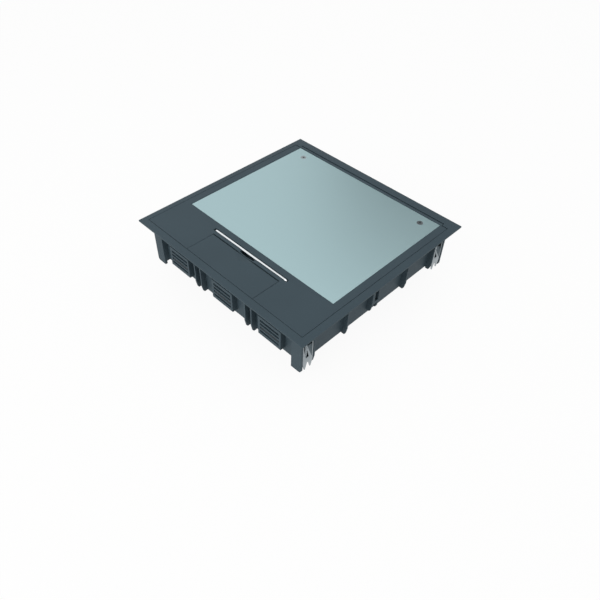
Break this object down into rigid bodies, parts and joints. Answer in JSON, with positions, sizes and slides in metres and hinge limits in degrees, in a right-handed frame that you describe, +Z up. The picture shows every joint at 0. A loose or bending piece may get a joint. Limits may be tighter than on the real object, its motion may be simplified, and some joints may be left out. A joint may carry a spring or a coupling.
{
  "type": "floor socket box",
  "caption": "Square in-floor socket box with a hinged steel-faced lid, pull-up handle, cord flap, device carriers, wiring cups and screw-driven corner claws.",
  "frame": {"origin": "centre of the plane under the wiring cups, below the middle of the lid", "axes": "+Z up through the lid, +Y towards the lid's hinge, -Y towards the cord flap, +X along the front edge to the right"},
  "size_m": [0.264, 0.264, 0.0751],
  "materials": {
    "frame_plastic": "fine moulded texture, slate grey polyamide",
    "satin_steel": "satin stainless steel",
    "bright_wire": "bright nickel-plated wire",
    "zinc_steel": "zinc-plated steel",
    "carrier_plastic": "moulded, dark grey",
    "cup_plastic": "moulded, black grey",
    "device_white": "gloss moulded, pure white",
    "contact_brass": "tinned brass spring strip",
    "jack_black": "moulded, black"
  },
  "bodies": {
    "box": {"frame": "frame_plastic", "hinge_pins": "zinc_steel", "carrier_left": "carrier_plastic", "wiring_cup_left": "cup_plastic", "carrier_centre": "carrier_plastic", "wiring_cup_centre": "cup_plastic", "carrier_right": "carrier_plastic", "wiring_cup_right": "cup_plastic", "clamp_bars": "cup_plastic", "clamp_screws": "zinc_steel", "power_socket_1": "device_white", "earth_clips_1": "contact_brass", "power_socket_2": "device_white", "earth_clips_2": "contact_brass", "power_socket_3": "device_white", "earth_clips_3": "contact_brass", "power_socket_4": "device_white", "earth_clips_4": "contact_brass", "data_outlet_1": "device_white", "data_jacks_1": "jack_black", "data_outlet_2": "device_white", "data_jacks_2": "jack_black", "blank_cover_1": "cup_plastic", "blank_cover_2": "cup_plastic", "blank_cover_3": "cup_plastic", "blank_cover_4": "cup_plastic", "blank_cover_5": "cup_plastic", "blank_cover_6": "cup_plastic"},
    "lid": {"lid": "frame_plastic", "lid_plate": "satin_steel", "plate_screws": "satin_steel"},
    "handle": {"handle_bow": "bright_wire", "handle_clips": "zinc_steel"},
    "flap": {"cord_flap": "frame_plastic"},
    "claw_screw_front_left": {"claw_screw_front_left": "zinc_steel"},
    "claw_nut_front_left": {"claw_nut_front_left": "zinc_steel"},
    "claw_front_left": {"claw_front_left": "zinc_steel"},
    "claw_screw_front_right": {"claw_screw_front_right": "zinc_steel"},
    "claw_nut_front_right": {"claw_nut_front_right": "zinc_steel"},
    "claw_front_right": {"claw_front_right": "zinc_steel"},
    "claw_screw_rear_left": {"claw_screw_rear_left": "zinc_steel"},
    "claw_nut_rear_left": {"claw_nut_rear_left": "zinc_steel"},
    "claw_rear_left": {"claw_rear_left": "zinc_steel"},
    "claw_screw_rear_right": {"claw_screw_rear_right": "zinc_steel"},
    "claw_nut_rear_right": {"claw_nut_rear_right": "zinc_steel"},
    "claw_rear_right": {"claw_rear_right": "zinc_steel"}
  },
  "joints": [
    {"name": "lid_hinge", "type": "hinge", "parent": "box", "child": "lid", "pos_m": [0, 0.117, 0.0724], "axis": [-1, 0, 0], "range_deg": [0, 95]},
    {"name": "handle_slide", "type": "slide", "parent": "lid", "child": "handle", "axis": [0, 0, 1], "range_m": [0, 0.018]},
    {"name": "flap_hinge", "type": "hinge", "parent": "lid", "child": "flap", "pos_m": [0, -0.0884, 0.0726], "axis": [-1, 0, 0], "range_deg": [0, 85]},
    {"name": "screw_turn_front_left", "type": "hinge", "parent": "box", "child": "claw_screw_front_left", "pos_m": [-0.117, -0.11075, 0.068], "axis": [0, 0, -1], "range_deg": [0, 7200]},
    {"name": "nut_climb_front_left", "type": "slide", "parent": "box", "child": "claw_nut_front_left", "axis": [0, 0, 1], "range_m": [0, 0.012]},
    {"name": "claw_swing_front_left", "type": "hinge", "parent": "box", "child": "claw_front_left", "pos_m": [-0.118, -0.11075, 0.061], "axis": [0, 1, 0], "range_deg": [0, 12.32]},
    {"name": "screw_turn_front_right", "type": "hinge", "parent": "box", "child": "claw_screw_front_right", "pos_m": [0.117, -0.11075, 0.068], "axis": [0, 0, -1], "range_deg": [0, 7200]},
    {"name": "nut_climb_front_right", "type": "slide", "parent": "box", "child": "claw_nut_front_right", "axis": [0, 0, 1], "range_m": [0, 0.012]},
    {"name": "claw_swing_front_right", "type": "hinge", "parent": "box", "child": "claw_front_right", "pos_m": [0.118, -0.11075, 0.061], "axis": [0, -1, 0], "range_deg": [0, 12.32]},
    {"name": "screw_turn_rear_left", "type": "hinge", "parent": "box", "child": "claw_screw_rear_left", "pos_m": [-0.117, 0.11075, 0.068], "axis": [0, 0, -1], "range_deg": [0, 7200]},
    {"name": "nut_climb_rear_left", "type": "slide", "parent": "box", "child": "claw_nut_rear_left", "axis": [0, 0, 1], "range_m": [0, 0.012]},
    {"name": "claw_swing_rear_left", "type": "hinge", "parent": "box", "child": "claw_rear_left", "pos_m": [-0.118, 0.11075, 0.061], "axis": [0, 1, 0], "range_deg": [0, 12.32]},
    {"name": "screw_turn_rear_right", "type": "hinge", "parent": "box", "child": "claw_screw_rear_right", "pos_m": [0.117, 0.11075, 0.068], "axis": [0, 0, -1], "range_deg": [0, 7200]},
    {"name": "nut_climb_rear_right", "type": "slide", "parent": "box", "child": "claw_nut_rear_right", "axis": [0, 0, 1], "range_m": [0, 0.012]},
    {"name": "claw_swing_rear_right", "type": "hinge", "parent": "box", "child": "claw_rear_right", "pos_m": [0.118, 0.11075, 0.061], "axis": [0, -1, 0], "range_deg": [0, 12.32]}
  ],
  "couplings": [
    {"joint": "screw_turn_front_left", "follows": "nut_climb_front_left", "rad_per_m": 10472},
    {"joint": "claw_swing_front_left", "follows": "nut_climb_front_left", "rad_per_m": 17.917},
    {"joint": "screw_turn_front_right", "follows": "nut_climb_front_right", "rad_per_m": 10472},
    {"joint": "claw_swing_front_right", "follows": "nut_climb_front_right", "rad_per_m": 17.917},
    {"joint": "screw_turn_rear_left", "follows": "nut_climb_rear_left", "rad_per_m": 10472},
    {"joint": "claw_swing_rear_left", "follows": "nut_climb_rear_left", "rad_per_m": 17.917},
    {"joint": "screw_turn_rear_right", "follows": "nut_climb_rear_right", "rad_per_m": 10472},
    {"joint": "claw_swing_rear_right", "follows": "nut_climb_rear_right", "rad_per_m": 17.917}
  ]
}
